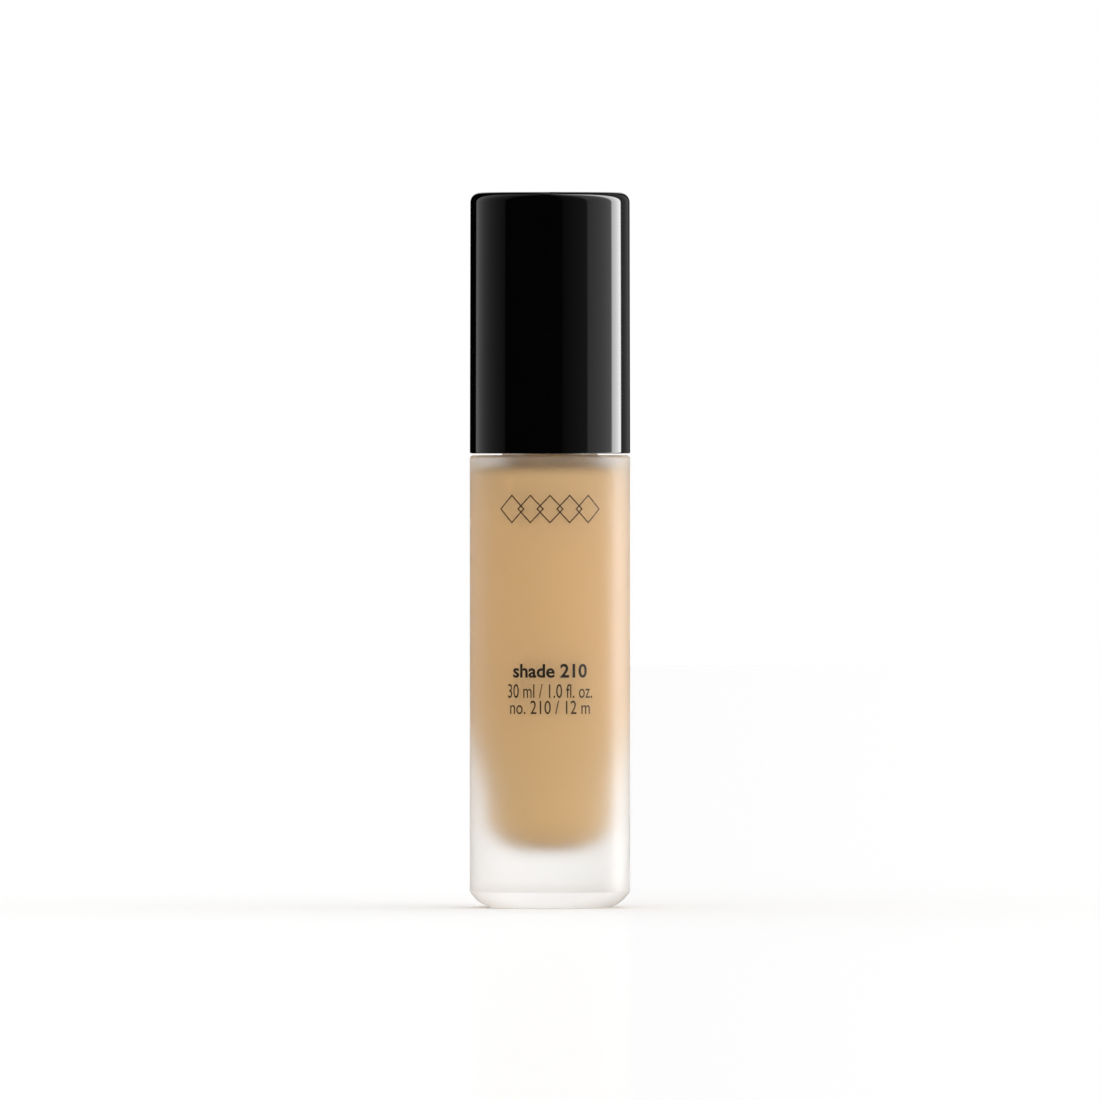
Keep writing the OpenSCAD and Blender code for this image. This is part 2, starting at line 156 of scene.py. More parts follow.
def select_where(piece: Piece, test: Callable[[Vector], bool]) -> int:
    """Select the vertices of an open piece by their place.

    Args:
        piece: a mesh object in edit mode.
        test: says whether a vertex at a place is selected.

    Returns:
        How many vertices are selected.
    """
    bpy.ops.mesh.select_all(action="DESELECT")
    mesh = bmesh.from_edit_mesh(piece.data)
    mesh.select_mode = {"VERT"}
    chosen = [vertex for vertex in mesh.verts if test(vertex.co)]
    for vertex in chosen:
        vertex.select_set(True)
    mesh.select_flush_mode()
    bmesh.update_edit_mesh(piece.data)
    return len(chosen)


def smooth(piece: Piece, degrees: float = 30) -> None:
    """Shade a piece smooth, with sharp edges where its faces meet at more than an angle.

    Args:
        piece: the mesh object.
        degrees: the angle past which an edge stays sharp.
    """
    take(piece)
    bpy.ops.object.shade_smooth_by_angle(angle=math.radians(degrees))


def finish_modifier(piece: Piece, kind: str, **settings: object) -> None:
    """Add a modifier to a piece and apply it.

    Args:
        piece: the mesh object.
        kind: Blender's name for the modifier.
        settings: the modifier's values by name.
    """
    take(piece)
    modifier = piece.modifiers.new(kind.lower(), kind)
    for name, value in settings.items():
        setattr(modifier, name, value)
    bpy.ops.object.modifier_apply(modifier=modifier.name)


def combine(piece: Piece, tool: Piece, joining: Joining) -> None:
    """Join a closed tool to a closed piece, or cut it away, and remove the tool.

    Args:
        piece: the mesh object that is kept.
        tool: the mesh object that is used up.
        joining: whether the tool is added or cut away.
    """
    finish_modifier(piece, "BOOLEAN", object=tool, operation=joining.value, solver="EXACT")
    bpy.data.objects.remove(tool)
    edit(piece)
    bpy.ops.mesh.remove_doubles(threshold=TOUCH)
    close_edit()


def wire(name: str, corners: Sequence[Corner], is_closed: bool) -> Piece:
    """Draw an outline point by point in the XZ plane.

    Args:
        name: the piece's name.
        corners: the corners in order.
        is_closed: whether the last corner is joined to the first.

    Returns:
        The outline, open in edit mode and all selected.
    """
    deselect()
    bpy.ops.mesh.primitive_plane_add(size=MM)
    piece = named(name)
    edit(piece)
    bpy.ops.mesh.merge(type="CENTER")
    bpy.ops.transform.translate(value=(corners[0].r, 0, corners[0].z))
    route = [*corners, corners[0]] if is_closed else corners
    for here, there in zip(route, route[1:]):
        step = (there.r - here.r, 0, there.z - here.z)
        bpy.ops.mesh.extrude_region_move(TRANSFORM_OT_translate={"value": step})
    bpy.ops.mesh.select_all(action="SELECT")
    bpy.ops.mesh.remove_doubles(threshold=TOUCH)
    return piece


def lathe(name: str, outline: Sequence[Corner], steps: int = 128) -> Piece:
    """Turn an outline round the Z axis into a closed solid.

    Args:
        name: the piece's name.
        outline: the corners in order, from the axis to the axis, or round a ring's section.
        steps: how many faces go round the piece.

    Returns:
        The closed mesh object, its normals outward.
    """
    piece = wire(name, outline, is_closed=outline[0].r > TOUCH)
    for corner in (c for c in outline if c.rounding > 0):
        place = Vector((corner.r, 0, corner.z))
        select_where(piece, lambda co, place=place: (co - place).length < TOUCH)
        bpy.ops.mesh.bevel(
            offset_type="OFFSET", offset=corner.rounding, segments=6, profile=0.5,
            affect="VERTICES", clamp_overlap=False,
        )
    bpy.ops.mesh.select_all(action="SELECT")
    bpy.ops.mesh.spin(steps=steps, angle=math.tau, center=(0, 0, 0), axis=(0, 0, 1))
    bpy.ops.mesh.select_all(action="SELECT")
    bpy.ops.mesh.remove_doubles(threshold=SEAM)
    bpy.ops.mesh.normals_make_consistent(inside=False)
    close_edit()
    smooth(piece)
    return piece


def rod(name: str, radius: float, low: float, high: float, rounding: float = 0.0, steps: int = 64) -> Piece:
    """Turn a plain rod on the Z axis.

    Args:
        name: the piece's name.
        radius: the rod's radius.
        low: the height of its lower end.
        high: the height of its upper end.
        rounding: the rounding of its upper edge.
        steps: how many faces go round it.

    Returns:
        The closed mesh object.
    """
    outline = [Corner(0, low), Corner(radius, low), Corner(radius, high, rounding), Corner(0, high)]
    return lathe(name, outline, steps)


def lay_towards_front(piece: Piece, height: float) -> None:
    """Turn a piece from the Z axis onto the -Y direction at a height.

    Args:
        piece: the mesh object, turned round Z.
        height: the height of its axis afterwards.
    """
    edit(piece)
    top = max(vertex.co.z for vertex in piece.data.vertices)
    bpy.ops.transform.rotate(value=-math.pi / 2, orient_axis="X", center_override=(0, 0, 0))
    close_edit()
    front = min(vertex.co.y for vertex in piece.data.vertices)
    if abs(front + top) > TOUCH:
        edit(piece)
        bpy.ops.transform.rotate(value=math.pi, orient_axis="X", center_override=(0, 0, 0))
        close_edit()
    edit(piece)
    bpy.ops.transform.translate(value=(0, 0, height))
    close_edit()


def block(name: str, low: Vector, high: Vector, edge: float = 0.0) -> Piece:
    """Make a block between two corners with bevelled edges.

    Args:
        name: the piece's name.
        low: its lowest corner.
        high: its highest corner.
        edge: the width of the bevel.

    Returns:
        The closed mesh object.
    """
    deselect()
    bpy.ops.mesh.primitive_cube_add(size=1)
    piece = named(name)
    edit(piece)
    bpy.ops.transform.resize(value=tuple(high - low))
    bpy.ops.transform.translate(value=tuple((high + low) / 2))
    if edge > 0:
        bpy.ops.mesh.bevel(offset=edge, segments=2, profile=0.5, affect="EDGES")
    close_edit()
    return piece


def turned_copies(piece: Piece, count: int) -> list[Piece]:
    """Copy a piece evenly round the Z axis, each copy with its own mesh.

    Args:
        piece: the mesh object that is copied.
        count: how many pieces there are afterwards.

    Returns:
        The piece and its copies.
    """
    pieces = [piece]
    for number in range(1, count):
        take(piece)
        bpy.ops.object.duplicate(linked=False)
        copy = bpy.context.object
        copy.rotation_euler.z = math.tau * number / count
        bpy.ops.object.transform_apply(location=False, rotation=True, scale=False)
        pieces.append(copy)
    return pieces


def helix(name: str, section: Sequence[Corner], turns: float, rise: float, steps: int = 48,
          run_out: float = 0.0) -> Piece:
    """Sweep a closed section along a right-handed helix round the Z axis and close its ends.

    Args:
        name: the piece's name.
        section: the corners of the section at the start.
        turns: how many turns the helix has.
        rise: how much it rises over all its turns.
        steps: how many sections one turn has.
        run_out: how far the ends sink towards the axis.

    Returns:
        The closed mesh object.
    """
    piece = wire(name, section, is_closed=True)
    close_edit()
    finish_modifier(
        piece, "SCREW", angle=math.tau * turns, screw_offset=rise, iterations=1,
        steps=round(steps * turns), render_steps=round(steps * turns), axis="Z",
    )
    edit(piece)
    bpy.ops.mesh.select_mode(type="VERT")
    bpy.ops.mesh.select_all(action="DESELECT")
    bpy.ops.mesh.select_non_manifold()
    bpy.ops.mesh.edge_face_add()
    if run_out > 0:
        low = min(corner.z for corner in section)
        high = max(corner.z for corner in section)
        for turn, base in ((0.0, 0.0), (math.tau * turns, rise)):
            way = Vector((math.cos(turn), math.sin(turn), 0))

            def at_end(co: Vector, way: Vector = way, base: float = base) -> bool:
                """Say whether a place is on the helix's end towards one way."""
                is_level = low - SEAM <= co.z - base <= high + SEAM
                return is_level and (Vector((co.x, co.y, 0)).normalized() - way).length < END_WIDTH

            select_where(piece, at_end)
            bpy.ops.transform.translate(value=tuple(way * -run_out))
    bpy.ops.mesh.select_all(action="SELECT")
    bpy.ops.mesh.normals_make_consistent(inside=False)
    close_edit()
    smooth(piece)
    return piece


# ---- Finishes ----


class NodeTree:
    """A node tree under construction."""

    def __init__(self, tree: bpy.types.NodeTree) -> None:
        """Keep the tree that the nodes go into.

        Args:
            tree: a material's, a world's or a group's node tree.
        """
        self.tree = tree

    def add(self, kind: str, **settings: object) -> bpy.types.Node:
        """Add a node.

        Args:
            kind: the node's type name without its ShaderNode prefix.
            settings: values of the node's properties by name.

        Returns:
            The new node.
        """
        node = self.tree.nodes.new(kind if kind.startswith("NodeGroup") else "ShaderNode" + kind)
        for name, value in settings.items():
            setattr(node, name, value)
        return node

    def link(self, source: Socket, target: Socket) -> None:
        """Link an output socket to an input socket."""
        self.tree.links.new(source, target)

    def math(self, operation: str, first: object, second: object = None) -> Socket:
        """Add a Math node.

        Args:
            operation: the operation's name.
            first: a socket or a number.
            second: a socket or a number, for an operation that takes two.

        Returns:
            The node's result.
        """
        node = self.add("Math", operation=operation)
        for value, target in ((first, node.inputs[0]), (second, node.inputs[1])):
            if isinstance(value, Socket):
                self.link(value, target)
            elif value is not None:
                target.default_value = value
        return node.outputs[0]

    def noise(self, scale: object, detail: float, vector: Socket) -> Socket:
        """Add a noise texture.

        Args:
            scale: a socket or a number, in features a metre.
            detail: the number of octaves.
            vector: the coordinates it reads.

        Returns:
            The noise's value.
        """
        node = self.add("TexNoise")
        node.inputs["Detail"].default_value = detail
        self.link(vector, node.inputs["Vector"])
        if isinstance(scale, Socket):
            self.link(scale, node.inputs["Scale"])
        else:
            node.inputs["Scale"].default_value = scale
        return node.outputs["Fac"]

    def spread(self, value: Socket, low: object, high: object) -> Socket:
        """Map a noise's middle range to a new range.

        Args:
            value: the noise's value.
            low: a socket or a number for the new lowest value.
            high: a socket or a number for the new highest value.

        Returns:
            The mapped value.
        """
        node = self.add("MapRange")
        self.link(value, node.inputs["Value"])
        node.inputs["From Min"].default_value = 0.3
        node.inputs["From Max"].default_value = 0.7
        for target, bound in (("To Min", low), ("To Max", high)):
            if isinstance(bound, Socket):
                self.link(bound, node.inputs[target])
            else:
                node.inputs[target].default_value = bound
        return node.outputs["Result"]


def shader_group(name: str, inputs: dict[str, float], outputs: Sequence[str],
                 build: Callable[[NodeTree, bpy.types.Node, bpy.types.Node], None]) -> bpy.types.NodeTree:
    """Make a shader node group once.

    Args:
        name: the group's name.
        inputs: the input sockets and their default values.
        outputs: the names of the output sockets.
        build: fills the group between its input and output nodes.

    Returns:
        The node group.
    """
    found = bpy.data.node_groups.get(name)
    if found:
        return found
    tree = bpy.data.node_groups.new(name, "ShaderNodeTree")
    for label, value in inputs.items():
        socket = tree.interface.new_socket(label, in_out="INPUT", socket_type="NodeSocketFloat")
        socket.default_value = value
    for label in outputs:
        tree.interface.new_socket(label, in_out="OUTPUT", socket_type="NodeSocketFloat")
    nodes = NodeTree(tree)
    build(nodes, nodes.add("NodeGroupInput"), nodes.add("NodeGroupOutput"))
    return tree


def surface_grain() -> bpy.types.NodeTree:
    """Make the group for a moulded, etched or drawn surface.

    Returns:
        A group that puts out a varying roughness and a bump height in metres.
    """
    def build(nodes: NodeTree, given: bpy.types.Node, result: bpy.types.Node) -> None:
        """Vary the roughness in patches, and raise a fine grain."""
        place = nodes.add("TexCoord").outputs["Object"]
        patches = nodes.noise(given.outputs["Patch Scale"], 3, place)
        least = nodes.math("SUBTRACT", given.outputs["Roughness"], given.outputs["Spread"])
        most = nodes.math("ADD", given.outputs["Roughness"], given.outputs["Spread"])
        nodes.link(nodes.spread(patches, least, most), result.inputs["Roughness"])
        grain = nodes.noise(given.outputs["Grain Scale"], 2, place)
        nodes.link(nodes.math("MULTIPLY", grain, given.outputs["Grain Depth"]), result.inputs["Height"])

    values = {"Roughness": 0.3, "Spread": 0.03, "Patch Scale": 220, "Grain Scale": 6000, "Grain Depth": 2e-6}
    return shader_group("surface_grain", values, ("Roughness", "Height"), build)


def settled_dust() -> bpy.types.NodeTree:
    """Make the group for fine dust on the faces that look up.

    Returns:
        A group that puts out the dust's mask.
    """
    specks_per_metre, speck_size = 900, 0.09
    patch_scale, bare_share = 160, 0.56

    def build(nodes: NodeTree, given: bpy.types.Node, result: bpy.types.Node) -> None:
        """Scatter specks in patches on the faces that look up."""
        place = nodes.add("TexCoord").outputs["Object"]
        specks = nodes.add("TexVoronoi")
        specks.inputs["Scale"].default_value = specks_per_metre
        nodes.link(place, specks.inputs["Vector"])
        near = nodes.math("LESS_THAN", specks.outputs["Distance"], speck_size)
        patches = nodes.math("GREATER_THAN", nodes.noise(patch_scale, 2, place), bare_share)
        normal = nodes.add("NewGeometry").outputs["Normal"]
        split = nodes.add("SeparateXYZ")
        nodes.link(normal, split.inputs["Vector"])
        upward = nodes.math("MAXIMUM", split.outputs["Z"], 0.0)
        mask = nodes.math("MULTIPLY", nodes.math("MULTIPLY", near, patches), upward)
        nodes.link(nodes.math("MULTIPLY", mask, given.outputs["Amount"]), result.inputs["Mask"])

    return shader_group("settled_dust", {"Amount": 0.3}, ("Mask",), build)


DUST_COLOUR: Colour = (0.32, 0.31, 0.29)


@dataclass(frozen=True)
class Finish:
    """A finish of one material: its colours, its gloss and the grain of its surface."""

    name: str
    colour: Colour
    second_colour: Colour
    roughness: float
    spread: float = 0.02
    patch_scale: float = 220
    grain_scale: float = 6000
    grain_depth: float = 2e-6
    metallic: float = 0.0
    transmission: float = 0.0
    ior: float = 1.5
    subsurface: float = 0.0
    subsurface_depth: float = 0.6 * MM
    specular: float = 0.5
    coat: float = 0.0
    coat_roughness: float = 0.1
    coat_ior: float = 1.5
    dust: float = 0.0

    def colour_socket(self, nodes: NodeTree) -> Socket:
        """Mix the two colours in patches, and lay dust over them.

        Args:
            nodes: the material's tree.

        Returns:
            The colour's socket.
        """
        place = nodes.add("TexCoord").outputs["Object"]
        mix = nodes.add("Mix", data_type="RGBA")
        nodes.link(nodes.spread(nodes.noise(self.patch_scale, 4, place), 0.0, 1.0), mix.inputs["Factor"])
        mix.inputs[6].default_value = (*self.colour, 1)
        mix.inputs[7].default_value = (*self.second_colour, 1)
        if not self.dust:
            return mix.outputs[2]
        dust = nodes.add("Group", node_tree=settled_dust())
        dust.inputs["Amount"].default_value = self.dust
        over = nodes.add("Mix", data_type="RGBA")
        nodes.link(dust.outputs["Mask"], over.inputs["Factor"])
        nodes.link(mix.outputs[2], over.inputs[6])
        over.inputs[7].default_value = (*DUST_COLOUR, 1)
        return over.outputs[2]

    def material(self) -> bpy.types.Material:
        """Make the material, once.

        Returns:
            The material with this finish.
        """
        label = self.name + "_finish"     # the frame's own materials have the slots' names
        found = bpy.data.materials.get(label)
        if found:
            return found
        material = bpy.data.materials.new(label)
        material.use_nodes = True
        nodes = NodeTree(material.node_tree)
        shader = material.node_tree.nodes["Principled BSDF"]
        for socket, value in (
            ("Metallic", self.metallic), ("IOR", self.ior), ("Specular IOR Level", self.specular),
            ("Transmission Weight", self.transmission), ("Subsurface Weight", self.subsurface),
            ("Subsurface Radius", (1.0, 0.8, 0.6)), ("Subsurface Scale", self.subsurface_depth),
            ("Coat Weight", self.coat), ("Coat Roughness", self.coat_roughness), ("Coat IOR", self.coat_ior),
        ):
            shader.inputs[socket].default_value = value
        nodes.link(self.colour_socket(nodes), shader.inputs["Base Color"])
        grain = nodes.add("Group", node_tree=surface_grain())
        for socket, value in (
            ("Roughness", self.roughness), ("Spread", self.spread), ("Patch Scale", self.patch_scale),
            ("Grain Scale", self.grain_scale), ("Grain Depth", self.grain_depth),
        ):
            grain.inputs[socket].default_value = value
        nodes.link(grain.outputs["Roughness"], shader.inputs["Roughness"])
        bump = nodes.add("Bump")
        bump.inputs["Distance"].default_value = 1.0
        nodes.link(grain.outputs["Height"], bump.inputs["Height"])
        nodes.link(bump.outputs["Normal"], shader.inputs["Normal"])
        return material


FROSTED_GLASS = Finish(
    "frosted_glass", (0.985, 0.98, 0.975), (0.995, 0.99, 0.985), 0.54, 0.02, 300, 9000, 0.6e-6,
    transmission=1.0, coat=1.0, coat_roughness=0.82, coat_ior=1.8,
)
CLEAR_GLASS = Finish(
    "clear_glass", (0.98, 0.985, 0.98), (0.99, 0.99, 0.985), 0.04, 0.01, 120, 300, 1e-6, transmission=1.0,
)
FOUNDATION = Finish("foundation_fluid", (0.775, 0.482, 0.18), (0.79, 0.50, 0.195), 0.4, 0.04, 90, 700, 2e-6)
MARK_INK = Finish("mark_ink", (0.045, 0.018, 0.008), (0.06, 0.026, 0.012), 0.5, 0.05, 900, 9000, 1e-6)
TEXT_INK = Finish("text_ink", (0.012, 0.010, 0.009), (0.02, 0.017, 0.015), 0.5, 0.05, 900, 9000, 1e-6)
LABEL_FILM = Finish("label_film", (0.90, 0.90, 0.89), (0.86, 0.86, 0.85), 0.6, 0.05, 700, 7000, 4e-6)
GASKET_FOAM = Finish("gasket_foam", (0.86, 0.86, 0.84), (0.78, 0.78, 0.76), 0.9, 0.05, 900, 5000, 25e-6)
SEAL_RUBBER = Finish("seal_rubber", (0.03, 0.03, 0.033), (0.045, 0.045, 0.05), 0.7, 0.08, 600, 4000, 6e-6)
NATURAL_PLASTIC = Finish(
    "natural_plastic", (0.82, 0.83, 0.83), (0.86, 0.87, 0.87), 0.36, 0.05, 200, 2500, 3e-6, subsurface=0.3,
)
PISTON_PLASTIC = Finish(
    "piston_plastic", (0.88, 0.88, 0.85), (0.84, 0.84, 0.82), 0.48, 0.05, 200, 2500, 3e-6, subsurface=0.3,
)
SPRING_STEEL = Finish(
    "spring_steel", (0.60, 0.60, 0.60), (0.52, 0.52, 0.53), 0.28, 0.06, 900, 9000, 1e-6, metallic=1.0,
)
BALL_STEEL = Finish(
    "ball_steel", (0.66, 0.66, 0.66), (0.62, 0.62, 0.63), 0.12, 0.03, 900, 9000, 0.5e-6, metallic=1.0,
)
GLOSS_BLACK = Finish(
    "gloss_black", (0.0008, 0.0008, 0.0008), (0.0012, 0.0011, 0.0011), 0.06, 0.01, 140, 900, 0.15e-6,
    specular=0.13, dust=0.12,
)
SATIN_BLACK = Finish(
    "satin_black", (0.010, 0.010, 0.011), (0.014, 0.014, 0.015), 0.38, 0.05, 260, 3500, 3e-6, dust=0.15,
)


def dress(piece: Piece, finish: Finish) -> None:
    """Give the whole of a piece one finish.

    Args:
        piece: a mesh object.
        finish: the finish.
    """
    piece.data.materials.clear()
    piece.data.materials.append(finish.material())


@dataclass(frozen=True)
class Standing:
    """Where a new piece belongs: its body, its material slot and the CAD nodes it stands for."""

    body: str
    slot: str
    nodes: tuple[str, ...] = ()


def settle(piece: Piece, finish: Finish, standing: Standing) -> None:
    """Dress a new piece and fix it to the frame.

    Args:
        piece: the finished mesh object.
        finish: its finish.
        standing: where it belongs.
    """
    if not piece.data.materials:
        dress(piece, finish)
    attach(piece, standing.body)
    if standing.nodes:
        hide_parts(*standing.nodes)
    LOG.info("%s: %d faces, rides on %s", piece.name, len(piece.data.polygons), standing.body)


def redress(frame: dict, node: str, finish: Finish) -> None:
    """Give a CAD node that stays visible its finish.

    Args:
        frame: the loaded frame.
        node: the node's name.
        finish: the finish.
    """
    dress(frame["nodes"][node], finish)
    LOG.info("%s: kept from the frame", node)


# ---- Bottle ----


@dataclass
class Bottle:
    """Glass bottle with its fluid and its base label."""

    body_r: float = 15.49 * MM          # a hair inside the frame, so that the print stays within it
    body_h: float = 87.3 * MM
    land_z: float = field(default_factory=lambda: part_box("glass_bottle")[1].z)
    base_r: float = 11.8 * MM
    heel_h: float = 3.1 * MM
    punt_r: float = 9.8 * MM
    punt_h: float = 0.5 * MM
    neck_r: float = 9.0 * MM
    bore_r: float = 6.5 * MM
    floor_z: float = 11.0 * MM
    ceiling_z: float = 85.1 * MM
    low_r: float = 8.9 * MM
    wall_r: float = 12.8 * MM
    foot_r: float = 2.5 * MM
    bowl_h: float = 7.5 * MM
    taper_h: float = 23.0 * MM
    corner_r: float = 2.4 * MM
    fill_z: float = field(default_factory=lambda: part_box("foundation_fluid")[1].z)
    thread_pitch: float = 3.175 * MM
    thread_turns: float = 1.25
    thread_z: float = 91.0 * MM
    soak: float = 0.05 * MM             # how far the fluid runs into the glass, so that no air shows between

    def heel(self) -> list[Corner]:
        """Give the heel's bulging bevel.

        Returns:
            Corners from the base ring up to the wall.
        """
        start = Vector((self.base_r, 0.0))
        rise = Vector((self.body_r, self.heel_h)) - start
        side = Vector((rise.y, -rise.x)).normalized()
        steps, bulge = 10, 0.4 * MM
        shares = [number / steps for number in range(steps + 1)]
        points = [start + rise * share + side * bulge * 4 * share * (1 - share) for share in shares]
        return [Corner(point.x, point.y) for point in points]

    def cavity(self, grow: float = 0.0) -> list[Corner]:
        """Give the cavity's outline from its floor up to its ceiling.

        Args:
            grow: how much larger the outline is all round.

        Returns:
            The corners, from the axis outwards and up, without the neck's bore.
        """
        floor = [Corner(0, self.floor_z - grow), Corner(self.foot_r, self.floor_z - grow)]
        bowl_steps, taper_steps = 12, 16
        bowl = []
        for number in range(1, bowl_steps + 1):
            turn = math.pi / 2 * number / bowl_steps
            bowl.append(Corner(
                self.foot_r + (self.low_r + grow - self.foot_r) * math.sin(turn),
                self.floor_z - grow + (self.bowl_h + grow) * (1 - math.cos(turn)),
            ))
        taper = []
        for number in range(1, taper_steps + 1):
            share = number / taper_steps
            taper.append(Corner(
                self.low_r + grow + (self.wall_r - self.low_r) * (1 - math.cos(math.pi * share)) / 2,
                self.floor_z + self.bowl_h + self.taper_h * share,
            ))
        return [*floor, *bowl, *taper, Corner(self.wall_r + grow, self.ceiling_z + grow, self.corner_r)]

    def thread(self) -> Piece:
        """Make the neck's thread ridge.

        Returns:
            The closed ridge, its root inside the neck.
        """
        root = self.neck_r - 0.4 * MM
        crest = self.neck_r + 0.85 * MM
        half_root, half_crest = 1.1 * MM, 0.35 * MM
        section = [
            Corner(root, self.thread_z - half_root), Corner(crest, self.thread_z - half_crest),
            Corner(crest, self.thread_z + half_crest), Corner(root, self.thread_z + half_root),
        ]
        return helix(
            "thread", section, self.thread_turns, self.thread_pitch * self.thread_turns, run_out=0.3 * MM,
        )

    def glass(self) -> Piece:
        """Make the glass as one hollow turned solid with its thread.

        Returns:
            The glass piece.
        """
        outside = [
            Corner(0, self.punt_h), Corner(self.punt_r - 0.6 * MM, self.punt_h, 0.3 * MM),
            Corner(self.punt_r, 0, 0.15 * MM), *self.heel(),
            Corner(self.body_r, self.body_h, 0.7 * MM), Corner(self.neck_r, self.body_h, 0.6 * MM),
            Corner(self.neck_r, self.land_z, 0.5 * MM),
        ]
        bore = [Corner(self.bore_r, self.land_z, 0.3 * MM), Corner(self.bore_r, self.ceiling_z, 0.5 * MM)]
        inside = list(reversed(self.cavity()))
        piece = lathe("glass", [*outside, *bore, *inside], 192)
        combine(piece, self.thread(), Joining.ADD)
        smooth(piece)
        dress(piece, FROSTED_GLASS)
        piece.data.materials.append(CLEAR_GLASS.material())
        neck_z = self.body_h + 0.5 * MM
        for face in piece.data.polygons:
            middle = face.center
            reach = math.hypot(middle.x, middle.y)
            inner = self.floor_z - MM < middle.z < self.ceiling_z + MM and reach < self.wall_r + 0.1 * MM
            face.material_index = 1 if inner or middle.z > neck_z else 0
        return piece

    def fluid(self) -> Piece:
        """Make the fluid with its pocket for the pump.

        Returns:
            The fluid piece.
        """
        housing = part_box("pump_housing")
        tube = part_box("dip_tube")
        gap = 0.15 * MM
        housing_r, socket_r, tube_r = 4.7 * MM + gap, 2.5 * MM + gap, 1.5 * MM + gap
        cone_low, cone_high = 74.3 * MM, 75.75 * MM
        outer_r, edge_w = self.bore_r + self.soak, 0.4 * MM
        level = self.fill_z - 0.12 * MM         # the fluid creeps up at the glass
        socket_z, tube_z = housing[0].z - gap, tube[0].z - 0.5 * MM
        outline = [
            *self.cavity(self.soak),
            Corner(outer_r, self.ceiling_z + self.soak), Corner(outer_r, self.fill_z),
            Corner(self.bore_r - edge_w, level), Corner(housing_r, level),
            Corner(housing_r, cone_high), Corner(socket_r, cone_low),
            Corner(socket_r, socket_z), Corner(tube_r, socket_z),
            Corner(tube_r, tube_z), Corner(0, tube_z),
        ]
        return lathe("fluid", outline, 128)

    def label(self) -> Piece:
        """Make the round film label in the base's recess.

        Returns:
            The label piece.
        """
        low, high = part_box("base_label")
        edge = 0.03 * MM
        outline = [Corner(0, low.z), Corner(high.x, low.z, edge), Corner(high.x, high.z), Corner(0, high.z)]
        return lathe("base_film", outline, 96)

    def build(self) -> None:
        """Make and place all the pieces of the bottle."""
        settle(self.glass(), FROSTED_GLASS, Standing("bottle", "frosted_glass", ("glass_bottle",)))
        settle(self.fluid(), FOUNDATION, Standing("bottle", "foundation", ("foundation_fluid",)))
        settle(self.label(), LABEL_FILM, Standing("bottle", "label_paper", ("base_label",)))


